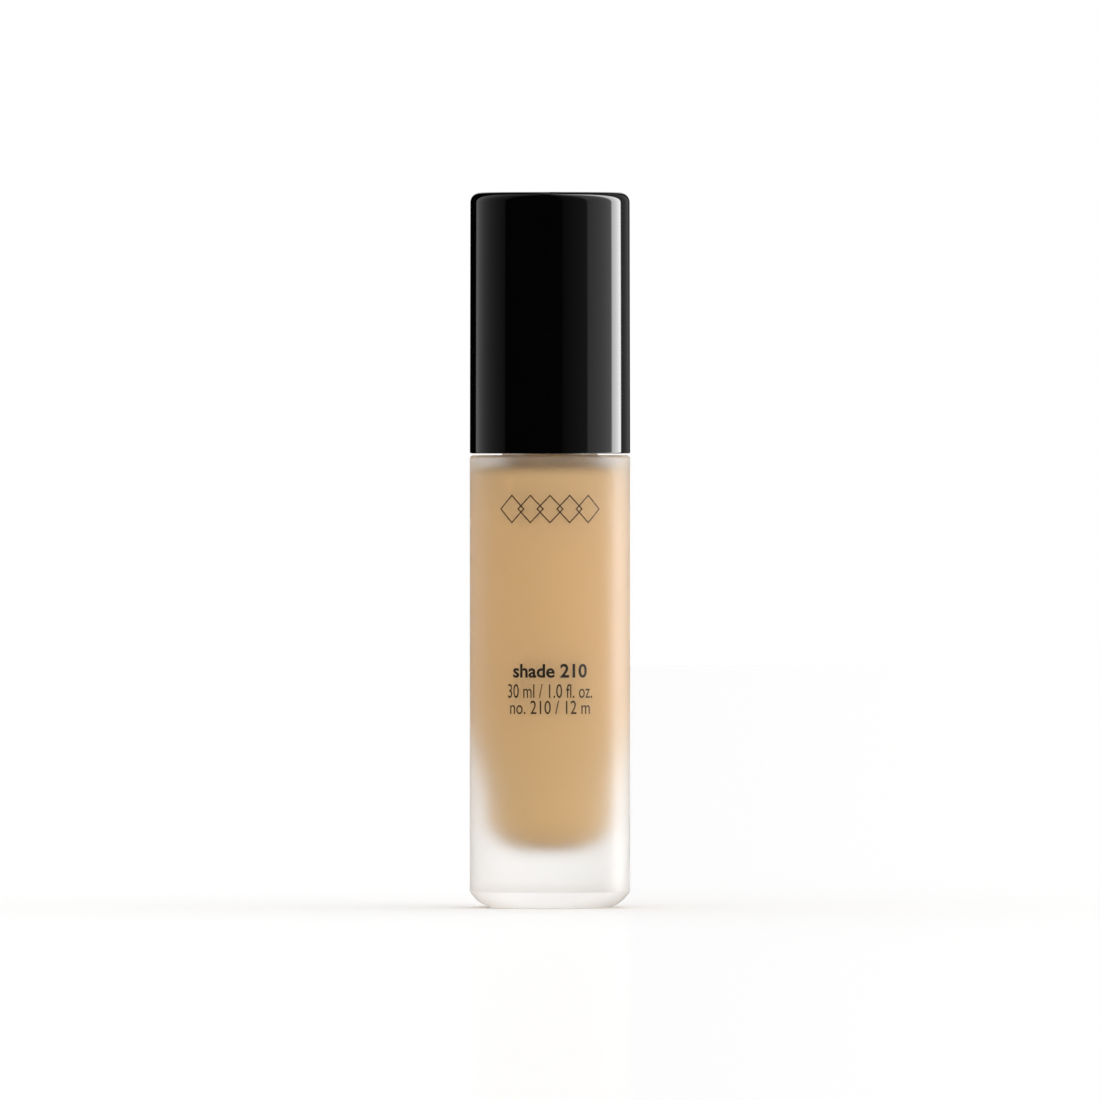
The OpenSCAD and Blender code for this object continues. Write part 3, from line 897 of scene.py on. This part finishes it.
@dataclass
class FrontPrint:
    """Printing on the bottle's front: a chain of lozenges and three rows of sizes and numbers."""

    wall_r: float = 15.5 * MM
    ink: float = 0.03 * MM
    mark_z: float = 77.0 * MM
    mark_w: float = 20.6 * MM
    mark_h: float = 5.6 * MM
    mark_count: int = 5
    mark_line: float = 0.24 * MM
    mark_step: float = 0.72             # distance between lozenges as a share of their width
    strip: float = 0.5 * MM             # width of the strips that follow the wall's curve

    def wrap(self, piece: Piece, width: float) -> None:
        """Bend a flat mark round the bottle's front.

        Args:
            piece: a thin mesh in the plane y = 0.
            width: the mark's width.
        """
        cuts = math.ceil(width / self.strip)
        edit(piece)
        for number in range(1, cuts):
            bpy.ops.mesh.select_all(action="SELECT")
            bpy.ops.mesh.bisect(plane_co=(width * (number / cuts - 0.5), 0, 0), plane_no=(1, 0, 0))
        close_edit()
        xs = [vertex.co.x for vertex in piece.data.vertices]
        finish_modifier(
            piece, "SIMPLE_DEFORM", deform_method="BEND", deform_axis="Z",
            angle=(max(xs) - min(xs)) / self.wall_r,
        )
        edit(piece)
        bpy.ops.transform.translate(value=(0, self.ink - self.wall_r, 0))
        bpy.ops.mesh.normals_make_consistent(inside=False)
        close_edit()

    def lozenge(self, number: int) -> Piece:
        """Make one outlined lozenge of the mark.

        Args:
            number: its place in the chain, from the left.

        Returns:
            A thin closed frame in the plane y = 0.
        """
        width = self.mark_w / (1 + (self.mark_count - 1) * self.mark_step)
        spacing = (self.mark_w - width) / (self.mark_count - 1)
        x = (number - (self.mark_count - 1) / 2) * spacing
        deselect()
        bpy.ops.mesh.primitive_circle_add(vertices=4, radius=0.5, fill_type="NGON")
        piece = named("lozenge")
        edit(piece)
        bpy.ops.transform.resize(value=(width, self.mark_h, 1))
        bpy.ops.mesh.inset(thickness=self.mark_line, depth=0)
        bpy.ops.mesh.delete(type="FACE")
        bpy.ops.mesh.select_all(action="SELECT")
        bpy.ops.mesh.extrude_region_move(TRANSFORM_OT_translate={"value": (0, 0, self.ink)})
        bpy.ops.mesh.select_all(action="SELECT")
        bpy.ops.mesh.normals_make_consistent(inside=False)
        close_edit()
        piece.location = (x, 0, self.mark_z)
        piece.rotation_euler = (math.pi / 2, 0, 0)
        take(piece)
        bpy.ops.object.transform_apply(location=True, rotation=True, scale=True)
        return piece

    def mark(self) -> Piece:
        """Make the chain of lozenges.

        Returns:
            The mark, wrapped round the front.
        """
        piece = self.lozenge(0)
        for number in range(1, self.mark_count):
            combine(piece, self.lozenge(number), Joining.ADD)
        piece.name = "front_mark"
        self.wrap(piece, self.mark_w)
        return piece

    def row(self, name: str, words: str, width: float, low: float, high: float,
            weight: float) -> Piece:
        """Make a row of figures and units.

        Args:
            name: the piece's name.
            words: what the row says.
            width: the row's width.
            low: the height of its lower edge.
            high: the height of its upper edge.
            weight: how much heavier its strokes are.

        Returns:
            The row, wrapped round the front.
        """
        deselect()
        bpy.ops.object.text_add(rotation=(math.pi / 2, 0, 0))
        piece = named(name)
        piece.data.body = words
        piece.data.align_x = "CENTER"
        piece.data.offset = weight
        piece.data.extrude = 0.5
        piece.data.resolution_u = 4
        bpy.ops.object.convert(target="MESH")
        piece = named(name)
        bpy.ops.object.transform_apply(location=False, rotation=True, scale=False)
        places = [vertex.co for vertex in piece.data.vertices]
        span = [(min(co[axis] for co in places), max(co[axis] for co in places)) for axis in range(3)]
        piece.scale = (
            width / (span[0][1] - span[0][0]), self.ink / (span[1][1] - span[1][0]),
            (high - low) / (span[2][1] - span[2][0]),
        )
        piece.location = (
            -(span[0][0] + span[0][1]) / 2 * piece.scale.x, -span[1][1] * piece.scale.y,
            low - span[2][0] * piece.scale.z,
        )
        bpy.ops.object.transform_apply(location=True, rotation=False, scale=True)
        edit(piece)
        bpy.ops.mesh.remove_doubles(threshold=TOUCH)
        close_edit()
        self.wrap(piece, width)
        return piece

    def build(self) -> None:
        """Make and place the mark and the rows."""
        on_glass = Standing("bottle", "frosted_glass")
        settle(self.mark(), MARK_INK, on_glass)
        rows = (
            ("row_shade", "shade 210", 14.7 * MM, 44.5 * MM, 47.2 * MM, 0.022),
            ("row_volume", "30 ml / 1.0 fl. oz.", 17.0 * MM, 40.6 * MM, 43.3 * MM, 0.0),
            ("row_number", "no. 210 / 12 m", 16.0 * MM, 37.5 * MM, 40.1 * MM, 0.0),
        )
        for name, words, width, low, high, weight in rows:
            settle(self.row(name, words, width, low, high, weight), TEXT_INK, on_glass)


# ---- Pump ----


@dataclass
class Pump:
    """Pump unit that hangs in the neck, with its stem, piston and valve."""

    frame: dict
    housing_r: float = 4.7 * MM
    chamber_r: float = 3.7 * MM
    stem_r: float = 2.5 * MM
    rod_r: float = 1.5 * MM
    channel_r: float = 1.1 * MM
    turret_r: float = 4.6 * MM
    wire_r: float = 0.3 * MM
    spring_r: float = 2.95 * MM
    spring_turns: float = 6
    stroke: float = 4.5 * MM

    def gasket(self) -> Piece:
        """Make the foam ring on the neck's land."""
        low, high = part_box("neck_gasket")
        inner, edge = self.housing_r + 0.3 * MM, 0.2 * MM
        return lathe("gasket", [
            Corner(inner, low.z), Corner(high.x, low.z, edge),
            Corner(high.x, high.z, edge), Corner(inner, high.z),
        ], 96)

    def chaplet(self) -> Piece:
        """Make the plug that closes the housing and guides the stem."""
        low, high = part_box("chaplet")
        guide_r = self.stem_r + 0.1 * MM
        flange_low, flange_high = 99.5 * MM, 100.5 * MM
        relief_z, relief_r = high.z - 2.4 * MM, guide_r + 0.7 * MM
        return lathe("stem_guide", [
            Corner(guide_r, low.z, 0.15 * MM), Corner(self.chamber_r, low.z, 0.2 * MM),
            Corner(self.chamber_r, flange_low), Corner(high.x, flange_low, 0.2 * MM),
            Corner(high.x, flange_high, 0.3 * MM), Corner(self.turret_r, flange_high, 0.3 * MM),
            Corner(self.turret_r, high.z, 0.4 * MM), Corner(relief_r, high.z, 0.2 * MM),
            Corner(relief_r, relief_z, 0.2 * MM), Corner(guide_r, relief_z, 0.1 * MM),
        ], 96)

    def spring(self) -> Piece:
        """Make the return spring from round wire."""
        low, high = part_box("return_spring")
        start_z = low.z + self.wire_r
        sides = 10
        section = [
            Corner(
                self.spring_r + self.wire_r * math.cos(math.tau * side / sides),
                start_z + self.wire_r * math.sin(math.tau * side / sides),
            )
            for side in range(sides)
        ]
        return helix("coil_spring", section, self.spring_turns, high.z - low.z - 2 * self.wire_r, 32)

    def stem(self) -> Piece:
        """Make the hollow upper stem with its stop."""
        low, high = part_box("upper_stem")
        stop_top, socket_top = low.z + 1.0 * MM, low.z + 3.3 * MM
        return lathe("stem_tube", [
            Corner(self.rod_r, low.z), Corner(high.x, low.z, 0.2 * MM), Corner(high.x, stop_top, 0.2 * MM),
            Corner(self.stem_r, stop_top, 0.2 * MM), Corner(self.stem_r, high.z, 0.25 * MM),
            Corner(self.channel_r, high.z, 0.1 * MM), Corner(self.channel_r, socket_top),
            Corner(self.rod_r, socket_top),
        ], 96)

    def build(self) -> None:
        """Make, dress and place the pump's pieces."""
        natural = "natural_plastic"
        settle(self.gasket(), GASKET_FOAM, Standing("pump_unit", "gasket_foam", ("neck_gasket",)))
        settle(self.chaplet(), NATURAL_PLASTIC, Standing("pump_unit", natural, ("chaplet",)))
        settle(self.stem(), NATURAL_PLASTIC, Standing("pump_stem", natural, ("upper_stem",)))
        spring = self.spring()
        settle(spring, SPRING_STEEL, Standing("pump_unit", "spring_steel", ("return_spring",)))
        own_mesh(spring)
        for node, finish in (
            ("pump_housing", NATURAL_PLASTIC), ("stem_seal", SEAL_RUBBER), ("dip_tube", NATURAL_PLASTIC),
            ("inlet_ball", BALL_STEEL), ("pump_piston", PISTON_PLASTIC), ("lower_stem", NATURAL_PLASTIC),
        ):
            redress(self.frame, node, finish)


@dataclass
class PumpHead:
    """Pump head: an inner core with the spout, a gloss shell over it and the nozzle's tip."""

    skirt_wall: float = 0.9 * MM
    hub_r: float = 4.2 * MM
    stem_r: float = 2.5 * MM
    stem_socket: float = 5.0 * MM
    channel_r: float = 1.1 * MM
    disc_t: float = 1.2 * MM
    spout_r: float = 2.4 * MM
    spout_z: float = 123.25 * MM
    tip_r: float = 1.7 * MM
    tip_len: float = 3.0 * MM
    orifice_r: float = 0.6 * MM
    dish_r: float = 32 * MM
    dish_depth: float = 0.7 * MM
    rib_count: int = 6

    def shell(self) -> Piece:
        """Make the gloss shell with its dished top and the opening for the spout.

        Returns:
            The shell piece.
        """
        low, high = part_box("actuator_shell")
        inner_r = high.x - self.skirt_wall
        inner_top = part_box("actuator_core")[1].z
        edge_r = math.sqrt(self.dish_r ** 2 - (self.dish_r - self.dish_depth) ** 2)
        dish_steps = 10
        dish = []
        for number in range(dish_steps + 1):
            reach = edge_r * number / dish_steps
            drop = self.dish_depth - (self.dish_r - math.sqrt(self.dish_r ** 2 - reach ** 2))
            dish.append(Corner(reach, high.z - drop))
        outline = [
            *dish, Corner(high.x, high.z, 1.2 * MM), Corner(high.x, low.z, 0.25 * MM),
            Corner(inner_r, low.z, 0.2 * MM), Corner(inner_r, inner_top), Corner(0, inner_top),
        ]
        piece = lathe("head_shell", outline, 160)
        cutter = rod("spout_opening", self.spout_r, inner_r - 2 * MM, high.x + 2 * MM, steps=96)
        lay_towards_front(cutter, self.spout_z)
        combine(piece, cutter, Joining.CUT)
        smooth(piece)
        return piece

    def core(self) -> Piece:
        """Make the core: hub, disc, ribs and spout, with its channels.

        Returns:
            The core piece.
        """
        low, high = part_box("actuator_core")
        reach = -low.y
        core_r = high.x
        piece = lathe("head_core", [
            Corner(0, low.z), Corner(self.hub_r, low.z, 0.3 * MM),
            Corner(self.hub_r, high.z - self.disc_t, 0.5 * MM), Corner(core_r, high.z - self.disc_t),
            Corner(core_r, high.z), Corner(0, high.z),
        ], 128)
        half = 0.4 * MM
        rib = block(
            "rib", Vector((self.hub_r - MM, -half, low.z + 2 * MM)),
            Vector((core_r - 0.02 * MM, half, high.z - self.disc_t + 0.5 * MM)),
        )
        take(rib)
        rib.rotation_euler.z = math.pi / self.rib_count
        bpy.ops.object.transform_apply(location=False, rotation=True, scale=False)
        for copy in turned_copies(rib, self.rib_count):
            combine(piece, copy, Joining.ADD)
        spout = rod("spout", self.spout_r, 0, reach, 0.25 * MM, 96)
        lay_towards_front(spout, self.spout_z)
        combine(piece, spout, Joining.ADD)
        for name, radius, start, end in (
            ("spout_channel", self.channel_r - 0.1 * MM, 0.0, reach - self.tip_len + 0.5 * MM),
            ("tip_socket", self.tip_r, reach - self.tip_len, reach + MM),
        ):
            cutter = rod(name, radius, start, end, steps=96)
            lay_towards_front(cutter, self.spout_z)
            combine(piece, cutter, Joining.CUT)
        socket_top = low.z + self.stem_socket
        combine(piece, rod("stem_socket", self.stem_r, low.z - MM, socket_top, steps=96), Joining.CUT)
        rising = rod("rising_channel", self.channel_r, socket_top - 0.5 * MM, self.spout_z, steps=64)
        combine(piece, rising, Joining.CUT)
        smooth(piece)
        return piece

    def tip(self) -> Piece:
        """Make the nozzle's tip with its flared orifice.

        Returns:
            The tip piece.
        """
        reach = -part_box("nozzle_tip")[0].y
        flare = 0.5 * MM
        piece = lathe("nozzle_mouth", [
            Corner(self.orifice_r, reach - self.tip_len), Corner(self.tip_r, reach - self.tip_len, 0.15 * MM),
            Corner(self.tip_r, reach, 0.15 * MM), Corner(self.orifice_r + flare, reach, 0.1 * MM),
            Corner(self.orifice_r, reach - flare),
        ], 96)
        lay_towards_front(piece, self.spout_z)
        return piece

    def build(self) -> None:
        """Make and place the pump head's pieces."""
        satin = "black_satin_plastic"
        settle(self.shell(), GLOSS_BLACK, Standing("pump_head", "black_gloss_plastic", ("actuator_shell",)))
        settle(self.core(), SATIN_BLACK, Standing("pump_head", satin, ("actuator_core",)))
        settle(self.tip(), SATIN_BLACK, Standing("pump_head", satin, ("nozzle_tip",)))


# ---- Closure and overcap ----


@dataclass
class Collar:
    """Threaded closure ring and the gloss collar over it."""

    frame: dict
    closure_r: float = 11.75 * MM
    top_t: float = 0.9 * MM
    hole_r: float = 5.6 * MM
    groove_low: float = 93.9 * MM
    groove_high: float = 95.5 * MM
    groove_depth: float = 0.25 * MM

    def shell(self) -> Piece:
        """Make the collar with its snap groove.

        Returns:
            The collar piece.
        """
        low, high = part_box("collar_shell")
        groove_r, soft = high.x - self.groove_depth, 0.15 * MM
        return lathe("collar_cover", [
            Corner(self.hole_r, high.z, 0.2 * MM), Corner(self.hole_r, high.z - self.top_t, 0.1 * MM),
            Corner(self.closure_r, high.z - self.top_t), Corner(self.closure_r, low.z, 0.15 * MM),
            Corner(high.x, low.z, 0.25 * MM), Corner(high.x, self.groove_low, soft),
            Corner(groove_r, self.groove_low), Corner(groove_r, self.groove_high),
            Corner(high.x, self.groove_high, soft), Corner(high.x, high.z, 0.5 * MM),
        ], 160)

    def build(self) -> None:
        """Make, dress and place the collar's pieces."""
        settle(self.shell(), GLOSS_BLACK, Standing("collar", "black_gloss_plastic", ("collar_shell",)))
        redress(self.frame, "closure_ring", SATIN_BLACK)


@dataclass
class Overcap:
    """Pull-off overcap: a tall gloss shell and the liner that grips the collar."""

    wall: float = 1.5 * MM
    top_t: float = 1.8 * MM
    draft: float = 0.1 * MM
    edge_r: float = 1.9 * MM
    collar_r: float = 12.8 * MM
    step_r: float = 12.1 * MM
    step_low: float = 102.85 * MM
    step_t: float = 1.2 * MM
    relief: float = 0.3 * MM
    bead_z: float = 94.1 * MM
    bead_h: float = 1.2 * MM
    rib_count: int = 8

    def inner_r(self, z: float) -> float:
        """Give the shell's bore radius at a height."""
        low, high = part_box("overcap_shell")
        return high.x - self.draft * (z - low.z) / (high.z - low.z) - self.wall

    def shell(self) -> Piece:
        """Make the tall gloss shell.

        Returns:
            The shell piece.
        """
        low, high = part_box("overcap_shell")
        inner_top = high.z - self.top_t
        return lathe("cap_shell", [
            Corner(0, high.z), Corner(high.x - self.draft, high.z, self.edge_r),
            Corner(high.x, low.z, 0.25 * MM), Corner(self.inner_r(low.z), low.z, 0.15 * MM),
            Corner(self.inner_r(inner_top), inner_top, 1.2 * MM), Corner(0, inner_top),
        ], 192)

    def liner(self) -> Piece:
        """Make the liner with its step, its bead and its ribs.

        Returns:
            The liner piece.
        """
        low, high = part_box("overcap_liner")
        loose_r, soft = self.collar_r + self.relief, 0.15 * MM
        step_high, bead_high = self.step_low + self.step_t, self.bead_z + self.bead_h
        piece = lathe("cap_liner", [
            Corner(loose_r, low.z, soft), Corner(self.inner_r(low.z), low.z, soft),
            Corner(self.inner_r(high.z), high.z, soft), Corner(self.collar_r, high.z, soft),
            Corner(self.collar_r, step_high, soft), Corner(self.step_r, step_high, soft),
            Corner(self.step_r, self.step_low, soft), Corner(loose_r, self.step_low),
            Corner(loose_r, bead_high), Corner(self.collar_r, bead_high, soft),
            Corner(self.collar_r, self.bead_z, soft), Corner(loose_r, self.bead_z),
        ], 160)
        half = 0.4 * MM
        rib = block(
            "liner_rib", Vector((self.collar_r, -half, low.z + MM)),
            Vector((loose_r + 0.2 * MM, half, self.bead_z - MM)), 0.1 * MM,
        )
        for copy in turned_copies(rib, self.rib_count):
            combine(piece, copy, Joining.ADD)
        smooth(piece)
        return piece

    def build(self) -> None:
        """Make and place the overcap's pieces."""
        settle(self.shell(), GLOSS_BLACK, Standing("overcap", "black_gloss_plastic", ("overcap_shell",)))
        settle(self.liner(), SATIN_BLACK, Standing("overcap", "black_satin_plastic", ("overcap_liner",)))


# ---- Studio ----


@dataclass(frozen=True)
class Panel:
    """A light panel round the bottle, between two bearings from the camera, positive to the right."""

    start: float
    end: float
    start_light: float
    end_light: float


@dataclass
class Studio:
    """Pale floor, soft light panels round the bottle and the camera."""

    floor_r: float = 4.0
    floor_colour: Colour = (0.908, 0.908, 0.906)
    floor_roughness: float = 0.9
    floor_sheen: float = 0.05
    sheen_roughness: float = 0.1
    sky: float = 1.13                   # light that diffuse and transmitted rays see
    sky_tilt: float = 0.3               # how much more of it comes from the right than from above
    soft_edge: float = 1.2              # degrees over which a panel's edge fades
    panels: tuple[Panel, ...] = (
        Panel(-180, -172, 1.00, 1.00),
        Panel(-134, -68, 1.60, 0.34),
        Panel(18, 56, 0.18, 0.65),
        Panel(56, 101, 2.50, 4.20),
        Panel(101, 124, 21.0, 21.0),
        Panel(124, 159, 0.35, 0.35),
        Panel(172, 180, 1.00, 1.00),
    )
    camera_distance: float = 5.0
    camera_z: float = 0.105
    aim_z: float = 0.069
    view_w: float = 0.2124              # width of what the camera sees at the bottle
    sensor_mm: float = 36.0

    def floor(self) -> Piece:
        """Make the pale floor.

        Returns:
            The floor.
        """
        deselect()
        bpy.ops.mesh.primitive_circle_add(vertices=96, radius=self.floor_r, fill_type="NGON")
        piece = named("floor")
        material = bpy.data.materials.new("pale_floor")
        material.use_nodes = True
        shader = material.node_tree.nodes["Principled BSDF"]
        shader.inputs["Base Color"].default_value = (*self.floor_colour, 1)
        shader.inputs["Roughness"].default_value = self.floor_roughness
        shader.inputs["Specular IOR Level"].default_value = 0.0
        nodes = NodeTree(material.node_tree)
        sheen = nodes.add("BsdfGlossy")
        sheen.inputs["Roughness"].default_value = self.sheen_roughness
        sheened = nodes.add("MixShader")
        sheened.inputs["Fac"].default_value = self.floor_sheen
        nodes.link(shader.outputs["BSDF"], sheened.inputs[1])
        nodes.link(sheen.outputs["BSDF"], sheened.inputs[2])
        output = material.node_tree.nodes["Material Output"]
        nodes.link(sheened.outputs["Shader"], output.inputs["Surface"])
        piece.data.materials.append(material)
        piece.visible_glossy = False        # the caps mirror the light panels right down to their rims
        return piece

    def stops(self) -> list[tuple[float, float]]:
        """Turn the panels into stops of light against bearing.

        Returns:
            Pairs of bearing in degrees and light, in order.
        """
        stops = [(-180.0, self.panels[0].start_light)]
        for panel in self.panels:
            previous = stops[-1]
            if panel.start - previous[0] > self.soft_edge:
                stops.append((panel.start - self.soft_edge / 2, 0.0))
            stops.append((panel.start + self.soft_edge / 2, panel.start_light))
            stops.append((panel.end - self.soft_edge / 2, panel.end_light))
            if all(abs(other.start - panel.end) >= self.soft_edge for other in self.panels):
                stops.append((panel.end + self.soft_edge / 2, 0.0))
        return stops

    def world(self) -> None:
        """Light the scene: white for what is seen directly, and panels for what is mirrored."""
        world = bpy.data.worlds.new("studio")
        bpy.context.scene.world = world
        world.use_nodes = True
        nodes = NodeTree(world.node_tree)
        background = world.node_tree.nodes["Background"]
        split = nodes.add("SeparateXYZ")
        nodes.link(nodes.add("TexCoord").outputs["Generated"], split.inputs["Vector"])
        bearing = nodes.math("ARCTAN2", split.outputs["X"], nodes.math("MULTIPLY", split.outputs["Y"], -1.0))
        share = nodes.math("ADD", nodes.math("DIVIDE", bearing, math.tau), 0.5)
        ramp = nodes.add("ValToRGB")
        strongest = max(panel.start_light for panel in self.panels)
        stops = self.stops()
        elements = ramp.color_ramp.elements
        elements.remove(elements[-1])
        for number, (degrees, light) in enumerate(stops):
            place = degrees / 360 + 0.5
            stop = elements[0] if number == 0 else elements.new(place)
            stop.position = place
            stop.color = (light / strongest,) * 3 + (1,)
        nodes.link(share, ramp.inputs["Fac"])
        mirrored = nodes.math("MULTIPLY", ramp.outputs["Color"], strongest)
        path = nodes.add("LightPath").outputs
        # a ray through frosted glass counts as both glossy and transmitted
        unrefracted = nodes.math("SUBTRACT", path["Is Glossy Ray"], path["Is Transmission Ray"])
        is_mirrored = nodes.math("MAXIMUM", unrefracted, 0.0)
        strength = nodes.add("Mix", data_type="FLOAT")
        nodes.link(is_mirrored, strength.inputs["Factor"])
        direct = nodes.add("Mix", data_type="FLOAT")
        nodes.link(path["Is Camera Ray"], direct.inputs["Factor"])
        tilt = nodes.math("ADD", nodes.math("MULTIPLY", split.outputs["X"], self.sky_tilt), 1.0)
        nodes.link(nodes.math("MULTIPLY", tilt, self.sky), direct.inputs[2])
        direct.inputs[3].default_value = 1.0
        nodes.link(direct.outputs[0], strength.inputs[2])
        nodes.link(mirrored, strength.inputs[3])
        nodes.link(strength.outputs[0], background.inputs["Strength"])
        background.inputs["Color"].default_value = (1, 1, 1, 1)

    def camera(self) -> None:
        """Place the camera in front of the bottle, a little above its middle."""
        data = bpy.data.cameras.new("camera")
        camera = bpy.data.objects.new("camera", data)
        bpy.context.scene.collection.objects.link(camera)
        camera.location = (0, -self.camera_distance, self.camera_z)
        aim = Vector((0, 0, self.aim_z)) - camera.location
        camera.rotation_euler = aim.to_track_quat("-Z", "Y").to_euler()
        data.sensor_width = self.sensor_mm
        data.lens = self.sensor_mm * aim.length / self.view_w
        data.clip_end = 50
        bpy.context.scene.camera = camera

    def build(self) -> None:
        """Make the floor, the light and the camera."""
        self.floor()
        self.world()
        self.camera()
        bpy.context.scene.view_settings.view_transform = "Standard"


def main() -> None:
    """Build the bottle round its frame and report each piece."""
    logging.basicConfig(level=logging.INFO, format="%(name)s: %(message)s")
    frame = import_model()
    Studio().build()
    for assembly in (Bottle(), FrontPrint(), Pump(frame), PumpHead(), Collar(frame), Overcap()):
        LOG.info("building %s", type(assembly).__name__)
        assembly.build()


if __name__ == "__main__":
    main()
